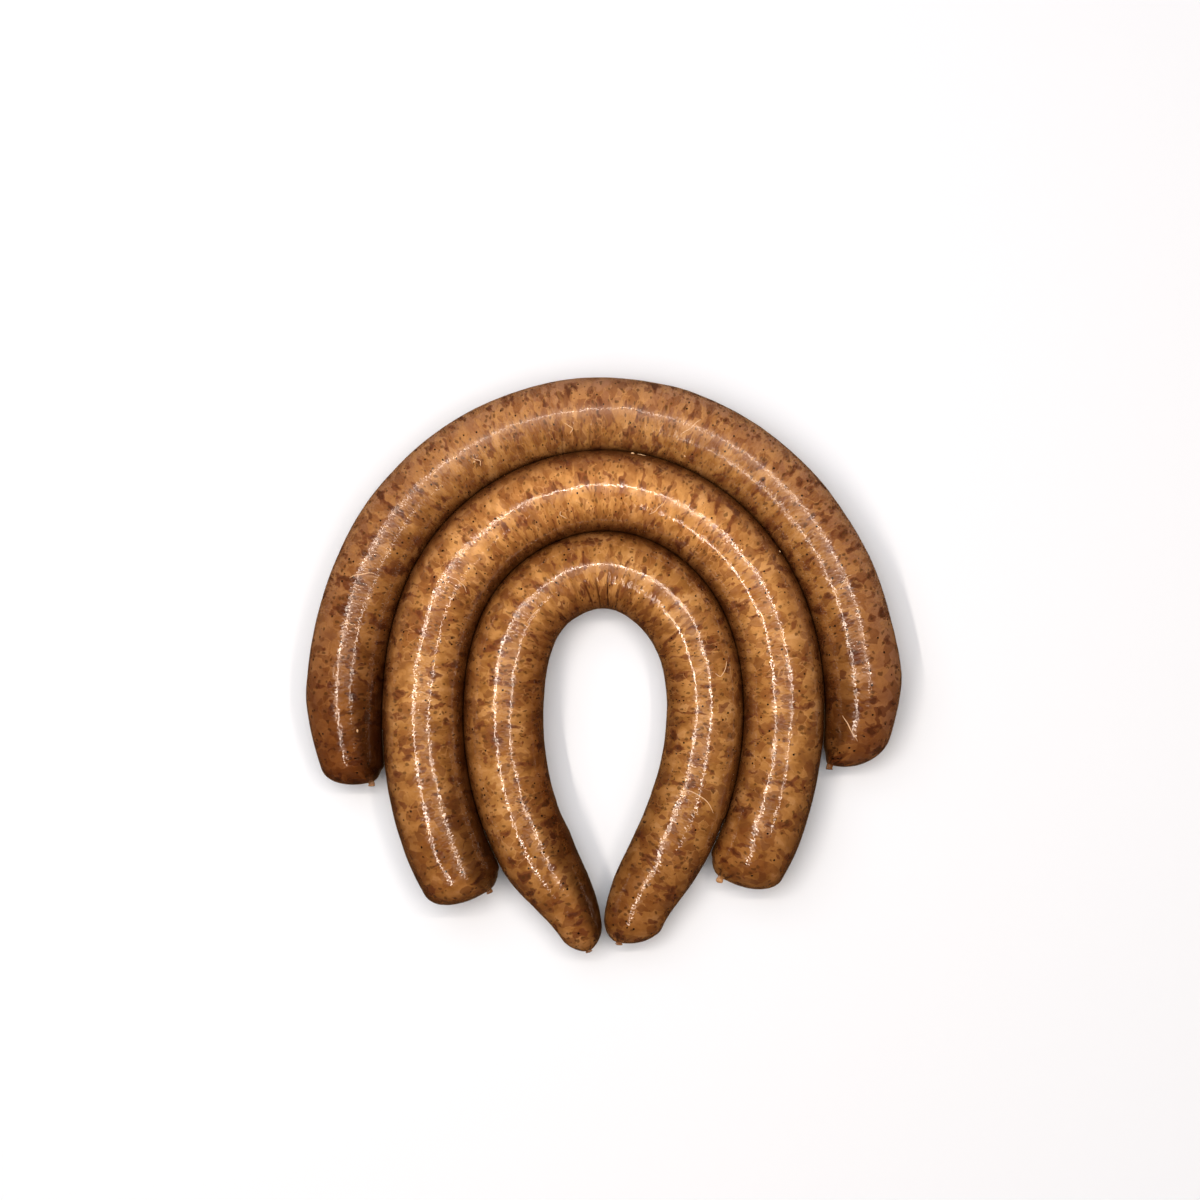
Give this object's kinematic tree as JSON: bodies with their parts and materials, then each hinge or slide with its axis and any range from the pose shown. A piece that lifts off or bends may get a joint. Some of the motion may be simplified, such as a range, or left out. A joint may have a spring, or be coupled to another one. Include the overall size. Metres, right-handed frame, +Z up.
{
  "type": "sausage links",
  "caption": "Smoked sausage links with gathered ends, curved into horseshoes that nest in one another and lie flat, crowns to the back.",
  "frame": {"origin": "centre of the bounding box's bottom face, on the surface that the links lie on", "axes": "+Z up, +Y towards the crowns of the horseshoes, -Y towards the ends, +X to the right seen from above"},
  "size_m": [0.1826, 0.1772, 0.0251],
  "materials": {
    "smoked_casing": "glossy smoked natural casing, golden brown with darker flecks of lean"
  },
  "bodies": {
    "root": {"link_inner": "smoked_casing", "link_middle": "smoked_casing", "link_outer": "smoked_casing"}
  },
  "joints": []
}
